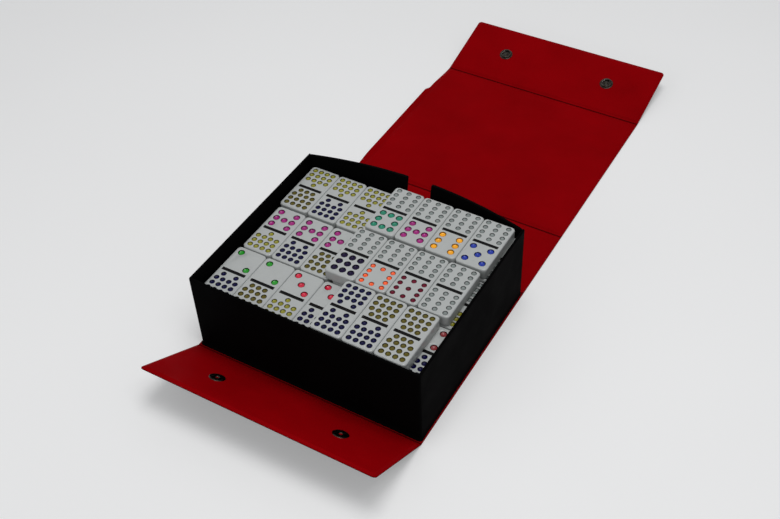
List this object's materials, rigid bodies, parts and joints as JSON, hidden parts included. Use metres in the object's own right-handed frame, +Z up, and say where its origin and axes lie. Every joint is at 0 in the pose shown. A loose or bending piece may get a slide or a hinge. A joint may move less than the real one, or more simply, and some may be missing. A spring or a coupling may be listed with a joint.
{
  "type": "domino storage box",
  "caption": "Folding vinyl snap case, open: a covered board tray on a five-panel wrap with snap flaps, filled with loose dominoes.",
  "frame": {"origin": "on the surface that the case stands on, under the middle of the tray", "axes": "+X to the right, +Y to the back, towards the opened lid, +Z up"},
  "size_m": [0.194, 0.5335, 0.0711],
  "materials": {
    "black_vinyl": "fine-grained black vinyl sheet with a slight sheen",
    "red_vinyl": "smooth dark red vinyl lining",
    "grey_board": "raw grey board",
    "tile_white": "polished warm white with painted dimples",
    "nickel": "worn nickel plate"
  },
  "bodies": {
    "base": {"base_cover": "black_vinyl", "base_board": "grey_board", "base_lining": "red_vinyl", "front_crease": "red_vinyl", "back_crease": "red_vinyl", "tray_cover": "black_vinyl", "front_wall_board": "grey_board", "left_wall_board": "grey_board", "right_wall_board": "grey_board", "back_wall_cover": "black_vinyl", "back_wall_board": "grey_board", "floor_board": "grey_board", "floor_lining": "black_vinyl", "domino_12_8": "tile_white", "domino_12_7": "tile_white", "domino_12_6": "tile_white", "domino_12_5": "tile_white", "domino_12_9": "tile_white", "domino_12_10": "tile_white", "domino_12_11": "tile_white", "domino_12_12": "tile_white", "domino_14_14": "tile_white", "domino_15_14": "tile_white", "domino_15_15": "tile_white", "domino_13_15": "tile_white", "domino_13_14": "tile_white", "domino_13_13": "tile_white", "domino_7_13": "tile_white", "domino_7_14": "tile_white", "domino_7_15": "tile_white", "domino_2_14": "tile_white", "domino_2_15": "tile_white", "domino_3_13": "tile_white", "domino_3_14": "tile_white", "sixth_layer_right": "tile_white", "first_layer": "tile_white", "second_layer": "tile_white", "third_layer": "tile_white", "fourth_layer": "tile_white", "fifth_layer": "tile_white"},
    "front_flap": {"front_flap_cover": "black_vinyl", "front_flap_board": "grey_board", "front_flap_lining": "red_vinyl", "snap_studs": "nickel", "snap_eyelets": "nickel"},
    "back_panel": {"back_panel_cover": "black_vinyl", "back_panel_board": "grey_board", "back_panel_lining": "red_vinyl", "lid_crease": "red_vinyl"},
    "lid": {"lid_cover": "black_vinyl", "lid_board": "grey_board", "lid_lining": "red_vinyl", "closing_crease": "red_vinyl"},
    "closing_flap": {"closing_flap_cover": "black_vinyl", "closing_flap_board": "grey_board", "closing_flap_lining": "red_vinyl", "snap_caps": "nickel", "snap_sockets": "nickel", "socket_springs": "nickel"}
  },
  "joints": [
    {"name": "front_flap_hinge", "type": "hinge", "parent": "base", "child": "front_flap", "pos_m": [0, -0.083, 0.0004], "axis": [-1, 0, 0], "range_deg": [-28.4, 59], "deforming": ["front_crease"]},
    {"name": "back_panel_hinge", "type": "hinge", "parent": "base", "child": "back_panel", "pos_m": [0, 0.0824, 0.0004], "axis": [1, 0, 0], "range_deg": [0, 90], "deforming": ["back_crease", "back_wall_cover", "back_wall_board"]},
    {"name": "lid_hinge", "type": "hinge", "parent": "back_panel", "child": "lid", "pos_m": [0, 0.15525, 0.0004], "axis": [1, 0, 0], "range_deg": [0, 90], "deforming": ["lid_crease"]},
    {"name": "closing_flap_hinge", "type": "hinge", "parent": "lid", "child": "closing_flap", "pos_m": [0, 0.32525, 0.0004], "axis": [1, 0, 0], "range_deg": [-12, 76], "deforming": ["closing_crease"]}
  ]
}
